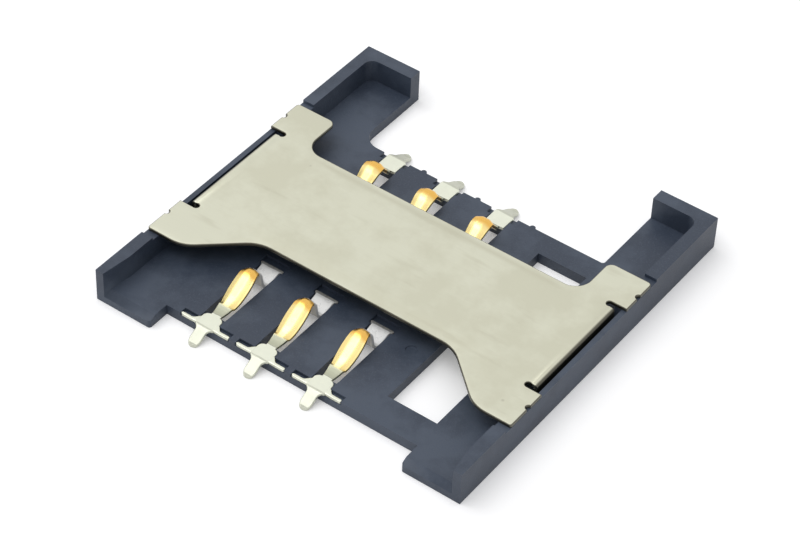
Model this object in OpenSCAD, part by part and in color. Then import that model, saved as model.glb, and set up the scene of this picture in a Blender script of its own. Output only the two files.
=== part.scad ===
// SIM card socket: moulded housing, stamped bridge and six stamped contacts.
// Units are mm, +Z is up, the board lies at z = 0 and the card goes in along +Y.
// Inside the modules x runs from the left outer face and y from the front of the wings.

/* [Card] */
// Width of the card that the socket takes
card_width = 15; // [14.5:0.1:16]
// Thickness of the card
card_thickness = 0.76; // [0.6:0.01:0.84]
// Free play at each side of the card
card_side_gap = 0.16; // [0.05:0.01:0.3]
// Free play above the card, below the bridge
card_top_gap = 0.11; // [0.05:0.01:0.3]
// Contact row nearer the card's leading edge, measured from that edge
card_row_near = 5; // [4.6:0.01:5.2]
// Distance between the two contact rows of the card
card_row_pitch = 7.62; // [7.4:0.01:7.7]
// Distance between neighbouring contacts in a row
card_contact_pitch = 2.54; // [2.4:0.01:2.6]
// Middle contact of a row, measured from the card's left edge
card_contact_middle = 6.14; // [6:0.01:6.6]
// Distance by which the free crowns stand behind the card's contact rows
row_shift = 0.25; // [0:0.01:0.3]

/* [Housing] */
// Size of the housing front to back
housing_depth = 16.55; // [16.3:0.05:17.5]
// Thickness of the floor
floor_thickness = 0.46; // [0.4:0.01:0.7]
// Thickness of the side rims
rim_thickness = 0.52; // [0.48:0.01:0.7]
// Thickness of the end stops at the back
stop_thickness = 0.58; // [0.4:0.02:0.8]
// Width of each wing
wing_width = 2.52; // [2.1:0.02:2.6]
// Length by which the front wings stand before the contacts' edge
front_wing_length = 0.97; // [0.6:0.01:1.2]
// Length by which the back wings stand behind the contacts' edge
back_wing_length = 3.83; // [3.2:0.01:4.2]
// Radius in the corner behind the left contacts
wing_corner_radius = 0.8; // [0.3:0.1:0.8]
// Radius inside the corners of rims and stops
rim_corner_radius = 0.4; // [0.2:0.05:0.8]
// Length of the flare at the card's entry
flare_length = 1.3; // [0.6:0.1:2]
// Width by which each rim thins at the card's entry
flare_width = 0.16; // [0.05:0.01:0.25]
// Depth of the slope at the front edge of the wing floors
entry_slope_height = 0.16; // [0.05:0.01:0.25]
// Length of the slope at the front edge of the wing floors
entry_slope_length = 0.32; // [0.15:0.01:0.6]
// Length by which the bridge's recess in the rims runs past the tabs
recess_margin = 0.32; // [0.1:0.01:0.4]

/* [Windows] */
// Width of the large windows beside the contacts
window_width = 2.15; // [1.5:0.05:2.3]
// Distance from the large windows to the right outer face
window_inset = 2.6; // [2.4:0.05:3]
// Distance from the front large window to the contacts' front edge
window_front_bar = 1.27; // [0.8:0.01:1.6]
// Distance from the back large window to the contacts' back edge
window_back_bar = 1.04; // [0.8:0.01:1.6]
// Width of the rib between the two large windows
window_rib = 2; // [1:0.1:4]
// Width of the window under each contact
contact_window_width = 0.92; // [0.84:0.01:1]
// Length of the edge that carries each contact's pad
pad_seat_length = 0.74; // [0.6:0.01:0.9]
// Length of the windows under the front contacts, behind their row
front_window_length = 1.25; // [1.15:0.01:1.4]
// Length of the windows under the rear contacts, before their row
rear_window_length = 1.74; // [1.6:0.01:2]
// Length of the ledge on which each contact's tip slides
tip_seat_length = 0.5; // [0.4:0.01:0.7]
// Gap behind the side arms of the front pads
arm_pocket = 0.17; // [0.05:0.01:0.3]
// Width of the notch around each rear tail
rear_notch_width = 1.24; // [1:0.01:1.3]
// Depth of the notch around each rear tail
rear_notch_depth = 0.33; // [0.1:0.01:0.5]
// Radius of the moulding nubs on the back edge
nub_radius = 0.12; // [0.08:0.01:0.2]
// Radius of the round ejector mark on the floor
ejector_radius = 0.24; // [0.15:0.01:0.4]
// Depth of the round ejector mark
ejector_depth = 0.03; // [0.01:0.01:0.1]
// Distance from the right contacts to the ejector mark
ejector_offset = 1.55; // [1.2:0.05:1.8]
// Distance from the ejector mark to the bridge's waist
ejector_setback = 0.21; // [0:0.01:0.5]

/* [Bridge] */
// Thickness of the bridge sheet
bridge_sheet = 0.15; // [0.1:0.01:0.2]
// Height by which the bridge stands above the rim tops
bridge_proud = 0.02; // [0:0.01:0.06]
// Front edge of the bridge's waist, from the front of the wings
waist_front = 4.82; // [4.6:0.02:5]
// Size of the bridge's waist front to back
waist_depth = 5.2; // [4.9:0.02:5.3]
// Width of the front tabs
front_tab_width = 1.62; // [1.3:0.02:1.8]
// Length of the front tabs along the rim, to the waist's front edge
front_tab_length = 1.9; // [1.6:0.02:2.1]
// Width that the sloping edge of the front tabs takes
front_tab_slope = 2.16; // [1.8:0.02:2.6]
// Width of the back tabs
back_tab_width = 1.86; // [1.4:0.02:2]
// Length of the back tabs along the rim, from the waist's back edge
back_tab_length = 1.95; // [1.6:0.02:2.1]
// Radius of the bridge's outline at the back tabs
bridge_radius = 0.7; // [0.3:0.05:0.9]
// Radius of the bridge's outline at the front tabs
bridge_soft_radius = 1.4; // [0.5:0.1:1.8]
// Small corner radius of the tabs
tab_radius = 0.3; // [0.1:0.05:0.4]
// Width of the bend reliefs beside the tabs
relief_width = 0.25; // [0.16:0.01:0.3]
// Depth of the bend reliefs from the rim's outer face
relief_depth = 0.78; // [0.7:0.01:0.9]
// Size of the small cut-off notches at the tab edges
nick_size = 0.14; // [0.08:0.01:0.2]
// Outer bend radius of the side flanges
flange_radius = 0.26; // [0.2:0.01:0.3]
// Height of the raised panel of the bridge
panel_height = 0.08; // [0.04:0.01:0.15]
// Width of the slope around the raised panel
panel_slope = 0.45; // [0.2:0.05:0.8]
// Margin around the raised panel at its front and back
panel_margin = 0.12; // [0.05:0.01:0.4]
// Margin around the raised panel at its sides
panel_side_margin = 1.9; // [1.6:0.1:3]
// Gap between the flanges and the thin walls outside them
flange_clear = 0.14; // [0.05:0.01:0.15]
// Length by which the flanges' pockets run past the flanges
flange_pocket = 0.3; // [0.1:0.01:0.4]
// Height of the flanges' lower edges above the board
flange_foot = 0.15; // [0.1:0.01:0.3]
// Gap between the flanges and their slots
flange_gap = 0.02; // [0.01:0.01:0.04]

/* [Contacts] */
// Thickness of the contact sheet
contact_sheet = 0.13; // [0.1:0.01:0.16]
// Height of a free contact's crown above the floor
contact_lift = 0.77; // [0.7:0.01:0.8]
// Width of the tails
tail_width = 0.48; // [0.3:0.02:0.6]
// Length by which the tails stand out of the housing
tail_length = 0.78; // [0.5:0.02:0.8]
// Flat part of the tails that is soldered to the board
foot_length = 0.1; // [0.06:0.02:0.3]
// Width of the pads
pad_width = 0.84; // [0.7:0.01:0.84]
// Width across the side arms of the front pads
arm_span = 2.2; // [1.8:0.02:2.24]
// Width of the side arms of the front pads
arm_width = 0.14; // [0.12:0.01:0.22]
// Radius between the pads and their side arms
arm_radius = 0.14; // [0.05:0.01:0.2]
// Flat length of each tail before it bends down
tail_root = 0.02; // [0.02:0.01:0.1]
// Radius of the tails' bends, measured to the outer face
tail_radius = 0.17; // [0.16:0.01:0.22]
// Length of the neck on the seat behind each pad
shoulder_length = 0.1; // [0.08:0.01:0.2]
// Width of the neck behind each pad and of the tongue before each tip
neck_width = 0.42; // [0.36:0.01:0.6]
// Width of the spoon at its widest
spoon_width = 0.8; // [0.7:0.01:0.82]
// Radius of the spoon's long edges in plan
spoon_edge_radius = 3; // [2:0.1:5]
// Distance from the crown to the spoon's widest place
spoon_belly = 0.65; // [0.4:0.05:0.8]
// Depth by which the coined spoon lies below the faces of the neck
coin_step = 0.01; // [0.01:0.005:0.02]
// Length of the flat on each crown
crown_flat = 0.02; // [0.02:0.01:0.06]
// Height of the spoon's arched section
spoon_arch = 0.09; // [0.04:0.01:0.12]
// Radius of the crown of the front contacts
front_crown_radius = 0.4; // [0.3:0.01:0.45]
// Radius of the soft bend behind the pad of the front contacts
front_soft_radius = 1.9; // [1.2:0.05:2.2]
// Length of the coined spoon before the front crowns
front_spoon_length = 1.34; // [1:0.02:1.6]
// Flat length at the other ends of the spoons
spoon_end = 0.2; // [0.16:0.01:0.3]
// Length of the steep drop behind the front crowns
front_drop_length = 0.75; // [0.7:0.01:0.85]
// Depth of the dip before the tip of the front contacts
front_dip = 0.16; // [0.1:0.01:0.18]
// Radius of the rear crowns on the side of the pad
rear_crown_radius = 0.3; // [0.25:0.01:0.32]
// Radius of the rear crowns on the side of the card's entry
rear_soft_radius = 0.8; // [0.4:0.05:0.9]
// Length of the long slope of the rear contacts
rear_slope_length = 1.4; // [1.3:0.01:1.5]
// Radius of the sharp bends, measured to the outer face
bend_radius = 0.3; // [0.22:0.01:0.32]
// Width of the cross bar at each contact's tip
tip_width = 1.04; // [0.96:0.01:1.1]
// Length of the cross bar at each contact's tip
tip_length = 0.14; // [0.1:0.01:0.2]
// Flat length of each tip before its window's edge
tip_overlap = 0.08; // [0.04:0.01:0.12]
// Gap around the pads and tips in their seats
seat_gap = 0.03; // [0.02:0.01:0.06]

/* [Hidden] */
$fn = 64;
eps = 0.01;
seam = 0.003;
pocket_width = card_width + 2 * card_side_gap;
housing_width = pocket_width + 2 * rim_thickness;
slot_top = floor_thickness + card_thickness + card_top_gap;
bridge_top = slot_top + bridge_sheet;
rim_height = bridge_top - bridge_proud;
stop_face = housing_depth - stop_thickness;
edge_front = front_wing_length;
edge_back = housing_depth - back_wing_length;
waist_back = waist_front + waist_depth;
tab_front = waist_front - front_tab_length;
tab_back = waist_back + back_tab_length;
recess_front = tab_front - recess_margin;
recess_back = tab_back + recess_margin;
flange_front = waist_front + relief_width;
flange_back = waist_back;
flange_face = rim_thickness - bridge_sheet - flange_gap;
thin_wall = flange_face - flange_clear;
row_rear = stop_face - card_row_near + row_shift;
row_front = row_rear - card_row_pitch;
axis_middle = housing_width / 2 - card_width / 2 + card_contact_middle;
seat_level = floor_thickness - contact_sheet;
pad_front = edge_front + pad_seat_length;
pad_rear = edge_back - pad_seat_length;
crown_front = row_front - pad_front;
crown_rear = pad_rear - row_rear;
window_left = housing_width - window_inset - window_width;
window_front = edge_front + window_front_bar;
window_back = edge_back - window_back_bar;
window_mid = (window_front + window_back) / 2;

// Area between two edges that leave a corner and the round that joins them.
module corner(p, a, b, r) {
    half = (b - a) / 2;
    reach = r / tan(half);
    c = p + r / sin(half) * [cos(a + half), sin(a + half)];
    difference() {
        polygon([p, p + reach * [cos(a), sin(a)], c, p + reach * [cos(b), sin(b)]]);
        translate(c) circle(r);
    }
}

// Copies a child to the other side of the housing's middle plane.
module both_sides() {
    children();
    translate([housing_width, 0, 0]) mirror([1, 0, 0]) children();
}

module floor_outline() {
    difference() {
        union() {
            translate([0, edge_front]) square([housing_width, edge_back - edge_front]);
            both_sides() square([wing_width, edge_front + 1]);
            both_sides() translate([0, edge_back - 1]) square([wing_width, back_wing_length + 1]);
            corner([wing_width, edge_back], 0, 90, wing_corner_radius);
            corner([housing_width - wing_width, edge_back], 90, 180, nub_radius);
        }
        corner([wing_width, 0], 90, 180, nub_radius);
        corner([housing_width - wing_width, 0], 0, 90, nub_radius);
    }
}

module rim_outline() {
    difference() {
        union() {
            square([rim_thickness, housing_depth]);
            translate([0, stop_face]) square([wing_width, stop_thickness]);
            corner([rim_thickness, stop_face], -90, 0, rim_corner_radius);
        }
        polygon([[rim_thickness, flare_length], [rim_thickness - flare_width, 0],
            [rim_thickness - flare_width, -1], [rim_thickness + 1, -1], [rim_thickness + 1, flare_length]]);
    }
}

// Openings for one contact; y runs from the pad's edge of the window.
module contact_seat(window, notch, seat) {
    translate([-contact_window_width / 2, 0, -1])
        cube([contact_window_width, window, floor_thickness + 2]);
    translate([-tip_width / 2 - seat_gap, window - eps, seat_level])
        cube([tip_width + 2 * seat_gap, tip_seat_length, 1]);
    translate([-pad_width / 2 - seat_gap, -pad_seat_length - 1, seat_level])
        cube([pad_width + 2 * seat_gap, pad_seat_length + 1 + eps, 1]);
    translate([-notch / 2, -pad_seat_length - 1, seat_level])
        cube([notch, 1 + seat, 1]);
}

module housing_body() {
    difference() {
        union() {
            linear_extrude(floor_thickness) floor_outline();
            linear_extrude(rim_height) both_sides() rim_outline();
            for (i = [0, 1, 2])
                translate([axis_middle + (i - 0.5) * card_contact_pitch, edge_back, 0])
                    cylinder(r = nub_radius, h = floor_thickness);
        }
        both_sides() translate([-1, recess_front, slot_top])
            cube([rim_thickness + 2, recess_back - recess_front, 1]);
        both_sides() translate([thin_wall, flange_front - flange_pocket, floor_thickness])
            cube([rim_thickness, flange_back - flange_front + 2 * flange_pocket, 2]);
        both_sides()
            translate([flange_face - flange_gap, flange_front - flange_gap, flange_foot - flange_gap])
                cube([bridge_sheet + 2 * flange_gap, flange_back - flange_front + 2 * flange_gap, 2]);
        translate([0, 0, floor_thickness]) rotate([0, 90, 0])
            linear_extrude(housing_width * 3, center = true)
                polygon([[0, entry_slope_length], [entry_slope_height, 0], [entry_slope_height, -1],
                    [-eps, -1], [-eps, entry_slope_length]]);
        translate([window_left, window_front, -1])
            cube([window_width, window_mid - window_rib / 2 - window_front, floor_thickness + 2]);
        translate([window_left, window_mid + window_rib / 2, -1])
            cube([window_width, window_back - window_mid - window_rib / 2, floor_thickness + 2]);
        for (i = [-1, 0, 1]) {
            translate([axis_middle + i * card_contact_pitch, pad_front, 0])
                contact_seat(crown_front + front_window_length, arm_span + 2 * seat_gap,
                    arm_width + arm_pocket);
            translate([axis_middle + i * card_contact_pitch, pad_rear, 0]) rotate([0, 0, 180])
                contact_seat(crown_rear + rear_window_length, rear_notch_width, rear_notch_depth);
        }
        translate([axis_middle + card_contact_pitch + ejector_offset, waist_front - ejector_setback,
            floor_thickness - ejector_depth])
            cylinder(r = ejector_radius, h = 1);
    }
}

// Rims with the flat entry slope kept away from them.
module housing() {
    color([0.13, 0.14, 0.17]) translate([-housing_width / 2, -housing_depth / 2, 0]) union() {
        housing_body();
        linear_extrude(rim_height) both_sides()
            intersection() {
                rim_outline();
                square([rim_thickness, recess_front]);
            }
    }
}

// Left half of the bridge's outline, to be mirrored.
module bridge_half() {
    mid = housing_width / 2 + eps;
    side = flange_face + flange_radius;
    foot = front_tab_width;
    slope = atan2(front_tab_length, front_tab_slope);
    knee = [foot + front_tab_slope, waist_front];
    difference() {
        union() {
            polygon([[0, tab_front], [foot, tab_front], knee, [mid, waist_front], [mid, waist_back],
                [back_tab_width, waist_back], [back_tab_width, tab_back], [0, tab_back]]);
            corner(knee, 180 + slope, 360, bridge_soft_radius);
            corner([back_tab_width, waist_back], 0, 90, bridge_radius);
        }
        corner([foot, tab_front], slope, 180, bridge_soft_radius);
        corner([back_tab_width, tab_back], 180, 270, tab_radius);
        corner([0, tab_back], 270, 360, tab_radius / 2);
        corner([0, tab_front], 0, 90, tab_radius / 3);
        translate([-1, flange_front]) square([side + 1, flange_back - flange_front]);
        for (y = [waist_front + relief_width / 2, waist_back + relief_width / 2]) {
            translate([-1, y - relief_width / 2]) square([relief_depth - relief_width / 2 + 1, relief_width]);
            translate([relief_depth - relief_width / 2, y]) circle(d = relief_width);
        }
        for (y = [waist_front - front_tab_length * 0.42, waist_back + back_tab_length * 0.54])
            translate([0, y]) circle(d = nick_size);
    }
}

// Frustum of the raised panel, exact in both directions.
module panel(base) {
    width = housing_width - 2 * panel_side_margin;
    depth = waist_depth - 2 * panel_margin;
    translate([housing_width / 2, waist_front + waist_depth / 2, base]) intersection() {
        rotate([90, 0, 0]) linear_extrude(depth, center = true)
            polygon([[-width / 2, 0], [width / 2, 0], [width / 2 - panel_slope, panel_height],
                [panel_slope - width / 2, panel_height]]);
        rotate([90, 0, 90]) linear_extrude(width, center = true)
            polygon([[-depth / 2, 0], [depth / 2, 0], [depth / 2 - panel_slope, panel_height],
                [panel_slope - depth / 2, panel_height]]);
    }
}

// Side flange that bends down from the plate into its slot.
module flange() {
    inner = flange_radius - bridge_sheet;
    centre = [flange_face + flange_radius, bridge_top - flange_radius];
    translate([0, flange_back, 0]) rotate([90, 0, 0]) linear_extrude(flange_back - flange_front) {
        difference() {
            intersection() {
                translate(centre) circle(flange_radius);
                translate(centre - [flange_radius, 0]) square(flange_radius);
            }
            translate(centre) circle(inner);
        }
        translate([flange_face, flange_foot]) square([bridge_sheet, centre[1] - flange_foot]);
        translate([centre[0] - eps, slot_top]) square([2 * eps, bridge_sheet]);
    }
}

module bridge() {
    color([0.78, 0.77, 0.70]) translate([-housing_width / 2, -housing_depth / 2, 0]) difference() {
        union() {
            translate([0, 0, slot_top]) linear_extrude(bridge_sheet) both_sides() bridge_half();
            panel(bridge_top - eps / 100);
            both_sides() flange();
        }
        panel(slot_top - eps / 100);
    }
}

// Slope and straight length of a strip that climbs by rise over run between two bends,
// and the sum of the bends' radii that such a climb has room for.
function climb_angle(run, rise, bends) =
    atan2(rise - bends, run) + asin(bends / norm([run, rise - bends]));
function climb_length(run, rise, bends) =
    sqrt(run * run + (rise - bends) * (rise - bends) - bends * bends);
function bend_room(run, rise) = 0.95 * (run * run + rise * rise) / (2 * rise);

// Ring sector about the origin between two angles less than 180 apart.
module sector(inner, outer, a, b) {
    mid = (a + b) / 2;
    intersection() {
        difference() {
            circle(outer);
            circle(inner);
        }
        polygon([[0, 0], 3 * outer * [cos(a), sin(a)], 3 * outer * [cos(mid), sin(mid)],
            3 * outer * [cos(b), sin(b)]]);
    }
}

// Extrudes a side view drawn in y and z across the strip's width.
module across(width) {
    rotate([90, 0, 90]) linear_extrude(width, center = true) children();
}

// Core that carries a strip's side view across the seam at p, a little inside both faces.
module seam_core(p) {
    translate(p - [2 * eps, contact_sheet - seam]) square([4 * eps, contact_sheet - 2 * seam]);
}

// Flat strip that leaves the flat at [0, 0] and is flat again at [run, rise] (top faces).
// Radii are measured to the outer face of each bend.
module climb(width, run, rise, low, high) {
    t = contact_sheet;
    room = bend_room(run, rise);
    outer = max(min(high, room * high / (low - t + high)), t + eps);
    inner = min(low - t, room - outer);
    a = climb_angle(run, rise, inner + outer);
    long = climb_length(run, rise, inner + outer);
    across(width) {
        translate([0, inner]) sector(inner, inner + t, 270, 270 + a);
        translate([run, rise - outer]) sector(outer - t, outer, 90, 90 + a);
        translate([inner * sin(a), inner * (1 - cos(a))]) rotate(a)
            translate([-eps, seam - t]) square([long + 2 * eps, t - 2 * seam]);
        seam_core([0, 0]);
        seam_core([run, rise]);
    }
}

// Arched section of the spoon, coin_step below y = 0 and thinner by inset on each face.
module arch_section(inset) {
    half = spoon_width / 2 + coin_step;
    r = (half * half + spoon_arch * spoon_arch) / (2 * spoon_arch);
    a = asin((half - inset) / r);
    translate([0, -r - coin_step]) sector(r - contact_sheet + inset, r - inset, 90 - a, 90 + a);
}

// One side of a spring: a flat lead of the given length in y, then the coined spoon up to the crown.
// The spoon is widest at centre.
module spring_side(run, rise, low, high, lead, centre) {
    t = contact_sheet;
    room = bend_room(run, rise);
    outer = max(min(high, room * high / (low - t + high)), spoon_arch + t + 3 * coin_step);
    inner = min(low - t, room - outer);
    a = climb_angle(run, rise, inner + outer);
    long = climb_length(run, rise, inner + outer);
    bend_end = inner * sin(a);
    on_bend = lead < bend_end;
    flat_angle = on_bend ? asin(max(lead, 0) / inner) : a;
    flat_straight = on_bend ? -eps : (lead - bend_end) / cos(a);
    lap = on_bend ? 2 * eps / inner * 180 / PI : 0;
    intersection() {
        across(spoon_width) {
            translate([0, inner]) sector(inner, inner + t, 270, 270 + flat_angle + lap);
            seam_core([0, 0]);
            if (!on_bend)
                translate([bend_end, inner * (1 - cos(a))]) rotate(a) translate([-eps, seam - t])
                    square([flat_straight + 3 * eps, t - 2 * seam]);
        }
        lead_plan(lead, centre);
    }
    intersection() {
        union() {
            if (on_bend)
                translate([0, 0, inner]) rotate([0, 90, 0]) rotate([0, 0, flat_angle])
                    rotate_extrude(angle = a - flat_angle) translate([inner, 0]) rotate(90) arch_section(0);
            translate([0, run, rise - outer]) {
                rotate([a, 0, 0]) translate([0, eps, outer]) rotate([90, 0, 0])
                    linear_extrude(long - flat_straight + eps) arch_section(seam);
                rotate([0, 90, 0]) rotate([0, 0, 180])
                    rotate_extrude(angle = a) translate([outer, 0]) rotate(-90) arch_section(0);
            }
        }
        spoon_plan(centre);
    }
}

// Half width of the spoon at a distance along y from its widest place.
function spoon_half(d) = sqrt(spoon_edge_radius * spoon_edge_radius - d * d) - spoon_edge_radius + spoon_width / 2;

// Plan of a flat lead that goes from the neck's width to just under the spoon's.
module lead_plan(lead, centre) {
    near = neck_width / 2;
    far = spoon_half(centre - lead) - 2 * coin_step;
    lap = 4 * eps;
    translate([0, 0, -1]) linear_extrude(3)
        polygon([[-near, -lap], [near, -lap], [far, lead + lap], [-far, lead + lap]]);
}

// Lens that gives the spoon its long round edges in plan.
module spoon_plan(centre) {
    shift = spoon_edge_radius - spoon_width / 2;
    translate([0, centre, -1]) linear_extrude(3) intersection() {
        translate([shift, 0]) circle(spoon_edge_radius);
        translate([-shift, 0]) circle(spoon_edge_radius);
    }
}

// Sprung part of a contact from the pad's edge over the crown to the end of the far slope.
module spring(crown, low, high, lead, far_run, far_rise, far_high, belly) {
    spring_side(crown - crown_flat / 2, contact_lift, low, high, lead, belly);
    translate([0, crown + far_run, contact_lift - far_rise]) mirror([0, 1, 0])
        spring_side(far_run - crown_flat / 2, far_rise, bend_radius, far_high, spoon_end,
            crown + far_run - belly);
    intersection() {
        translate([0, crown + crown_flat / 2 + eps, contact_lift]) rotate([90, 0, 0])
            linear_extrude(crown_flat + 2 * eps) arch_section(seam);
        spoon_plan(belly);
    }
}

// Plan of the pad with its tail root, side arms and round shoulders.
module pad_plan(arms) {
    half = pad_width / 2;
    arm_back = arm_width - pad_seat_length;
    difference() {
        translate([-half, -pad_seat_length]) square([pad_width, pad_seat_length - shoulder_length]);
        for (side = [0, 1]) mirror([side, 0])
            corner([half, -shoulder_length], 180, 270, half - neck_width / 2 - eps);
    }
    translate([-neck_width / 2, -shoulder_length - eps]) square([neck_width, shoulder_length + eps]);
    translate([-tail_width / 2, -pad_seat_length - tail_root]) square([tail_width, pad_seat_length]);
    if (arms) {
        for (side = [0, 1]) mirror([side, 0]) corner([half, arm_back], 0, 90, arm_radius);
        translate([-arm_span / 2, -pad_seat_length]) square([arm_span, arm_width]);
    }
}

// Plan of a tail with its round end, a seam inside the sheet's sides.
module tail_plan() {
    half = tail_width / 2 - seam;
    translate([0, half - pad_seat_length - tail_length, -1]) linear_extrude(2) {
        circle(half);
        translate([-half, 0]) square([2 * half, tail_length]);
    }
}

// Pad, tail and foot of a contact.
module contact_root(arms) {
    t = contact_sheet;
    drop = floor_thickness - t;
    slope_run = tail_length - foot_length - tail_root;
    foot = -pad_seat_length - tail_root - slope_run;
    translate([0, 0, -t]) linear_extrude(t) pad_plan(arms);
    intersection() {
        union() {
            translate([0, foot, -drop]) climb(tail_width, slope_run, drop, tail_radius, tail_radius);
            translate([-tail_width / 2, foot - foot_length - eps, -floor_thickness])
                cube([tail_width, foot_length + eps, t]);
        }
        tail_plan();
    }
}

// Flat tongue from start to the window's far edge, with its cross bar.
module contact_tip(start, window) {
    t = contact_sheet;
    translate([-neck_width / 2, start, -t]) cube([neck_width, window + tip_length - start, t]);
    translate([-tip_width / 2, window + seat_gap / 2, -t]) cube([tip_width, tip_length, t]);
}

// Contact of the front row: soft climb, crown, steep drop and a dip before the tip.
module front_contact(i) {
    dip_at = crown_front + front_drop_length;
    color([0.80, 0.79, 0.70])
        translate([axis_middle + i * card_contact_pitch - housing_width / 2, pad_front - housing_depth / 2,
            floor_thickness]) {
            contact_root(true);
            spring(crown_front, front_soft_radius, front_crown_radius, crown_front - front_spoon_length,
                front_drop_length, contact_lift + front_dip, front_crown_radius, crown_front - spoon_belly);
            translate([0, dip_at, -front_dip])
                climb(neck_width, front_window_length - front_drop_length - tip_overlap, front_dip,
                    bend_radius, bend_radius);
            contact_tip(crown_front + front_window_length - tip_overlap, crown_front + front_window_length);
        }
}

// Contact of the rear row: steep climb beside the pad and a long slope towards the card's entry.
module rear_contact(i) {
    color([0.80, 0.79, 0.70])
        translate([axis_middle + i * card_contact_pitch - housing_width / 2, pad_rear - housing_depth / 2,
            floor_thickness]) rotate([0, 0, 180]) {
            contact_root(false);
            spring(crown_rear, bend_radius, rear_crown_radius, spoon_end, rear_slope_length, contact_lift,
                rear_soft_radius, crown_rear + spoon_belly);
            contact_tip(crown_rear + rear_slope_length, crown_rear + rear_window_length);
        }
}

module contact_front_left() {
    front_contact(-1);
}

module contact_front_middle() {
    front_contact(0);
}

module contact_front_right() {
    front_contact(1);
}

module contact_rear_left() {
    rear_contact(-1);
}

module contact_rear_middle() {
    rear_contact(0);
}

module contact_rear_right() {
    rear_contact(1);
}

housing();
bridge();
contact_front_left();
contact_front_middle();
contact_front_right();
contact_rear_left();
contact_rear_middle();
contact_rear_right();
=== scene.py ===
"""Dressed model of a flat surface-mount socket for a small chip card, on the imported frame."""
import math

import bmesh
import bpy
from bpy.props import FloatProperty, FloatVectorProperty, IntProperty, PointerProperty
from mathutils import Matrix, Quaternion, Vector
from mathutils.geometry import delaunay_2d_cdt


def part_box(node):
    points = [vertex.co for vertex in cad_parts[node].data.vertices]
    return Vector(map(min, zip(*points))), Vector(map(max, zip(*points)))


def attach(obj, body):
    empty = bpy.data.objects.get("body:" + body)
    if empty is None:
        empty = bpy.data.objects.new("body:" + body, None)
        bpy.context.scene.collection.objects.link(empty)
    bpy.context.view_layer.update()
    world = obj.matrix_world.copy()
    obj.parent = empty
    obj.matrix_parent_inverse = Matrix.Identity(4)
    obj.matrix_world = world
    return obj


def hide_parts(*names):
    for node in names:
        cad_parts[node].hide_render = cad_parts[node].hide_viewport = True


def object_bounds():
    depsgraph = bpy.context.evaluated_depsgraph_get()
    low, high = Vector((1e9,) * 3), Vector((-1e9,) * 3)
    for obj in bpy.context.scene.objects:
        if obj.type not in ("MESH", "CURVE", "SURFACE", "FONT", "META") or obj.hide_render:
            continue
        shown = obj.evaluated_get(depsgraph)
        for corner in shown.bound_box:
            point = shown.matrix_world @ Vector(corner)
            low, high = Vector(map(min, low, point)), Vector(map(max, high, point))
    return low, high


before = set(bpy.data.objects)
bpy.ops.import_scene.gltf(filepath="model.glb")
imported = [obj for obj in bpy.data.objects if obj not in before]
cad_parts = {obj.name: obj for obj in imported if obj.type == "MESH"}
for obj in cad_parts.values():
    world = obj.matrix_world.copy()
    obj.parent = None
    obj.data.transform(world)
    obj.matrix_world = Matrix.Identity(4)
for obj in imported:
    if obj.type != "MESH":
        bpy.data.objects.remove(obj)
CAD_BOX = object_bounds()

bl_info = {
    "name": "Card socket",
    "version": (1, 0, 0),
    "blender": (4, 5, 0),
    "location": "View3D > Sidebar > Card socket",
    "description": "Makes the tray, bridge, contacts and studio of a chip card socket",
    "category": "Object",
}

MM = 0.001
FRONT_CONTACTS = ("contact_front_left", "contact_front_middle", "contact_front_right")
REAR_CONTACTS = ("contact_rear_left", "contact_rear_middle", "contact_rear_right")
WHITE = (1.0, 1.0, 1.0)
MIX_ENDS = (6, 7)           # sockets of the two colours of a Mix node
SAME_PLACE = 0.001 * MM     # points of the frame that are nearer than this are one

# The bridge's outline
SNAP = 0.005 * MM           # points of the top down to here are flattened
LEVEL_SLACK = 1e-7          # heights nearer than this are level
LEANS_OUT = 0.3             # least rise of the normal of a face that bends into a flange
NICK_DEPTH = 0.1 * MM       # reach of a nick from the side
NICK_HALF = 0.08 * MM       # and along the side
STRAIGHT = 0.003            # sine of the smallest corner that a loop keeps
CLEAR = 0.3                 # least distance of grid points from the loop, in steps

# Small lengths where the parts of a contact meet
RING_STEP = 0.03 * MM       # spacing of a strip's rings
ARC_STEP = 5.0              # degrees between the points of an arc
ROOT_START = 0.22 * MM      # before the pad, where the tail starts to flare
ROOT_FLARE = 0.26 * MM      # length of that flare
ARM_OVERLAP = 0.05 * MM     # how far an arm starts inside the pad
ARM_FLARE = 0.12 * MM       # widening at the arm's root
ARM_FLARE_RUN = 0.3 * MM    # length of that widening
ARM_SINK = 0.004 * MM       # arms lie this far below the strip's top
BAR_SINK = 0.002 * MM       # and bars this far, so that no two faces share a plane
BAR_OVERLAP = 0.6           # part of the bar's length that the strip runs into
BAR_EDGE = 1.4              # round of arms and bars against that of the strip
DIP_FLAT = 0.04 * MM        # level stretch between the dip and the bar
FRONT_TONGUE = 0.3 * MM     # from the crown to the start of the tongue, front row
REAR_TONGUE = 1.5 * MM      # and rear row
TONGUE_FLARE = 0.3 * MM     # length over which the spoon turns into the tongue

# Studio, in metres
KEY_LAMP = ((-0.16, -0.01, 0.18), 0.14, 0.14)         # place, width and depth
OVERHEAD_LAMP = ((-0.05, -0.09, 0.238), 0.22, 0.13)   # likewise
ZENITH = 1.5                # light straight above that is worth an even sky of 1
FLOOR_GAP = 0.01 * MM       # floor below the part
SENSOR = 36.0               # width in millimetres


def length(name, description, millimetres):
    """Length property whose default is given in millimetres."""
    return FloatProperty(name=name, description=description, default=millimetres * MM, min=0.0,
                         precision=6, unit="LENGTH")


def colour(name, description, rgb):
    """Colour property with a linear default."""
    return FloatVectorProperty(name=name, description=description, default=rgb, size=3, min=0.0,
                               max=1.0, subtype="COLOR")


def share(name, description, value):
    """Plain factor property."""
    return FloatProperty(name=name, description=description, default=value, min=0.0)


def view_angle(name, description, degrees):
    """Angle property whose default is given in degrees."""
    return FloatProperty(name=name, description=description, default=math.radians(degrees),
                         subtype="ANGLE", unit="ROTATION")


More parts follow.
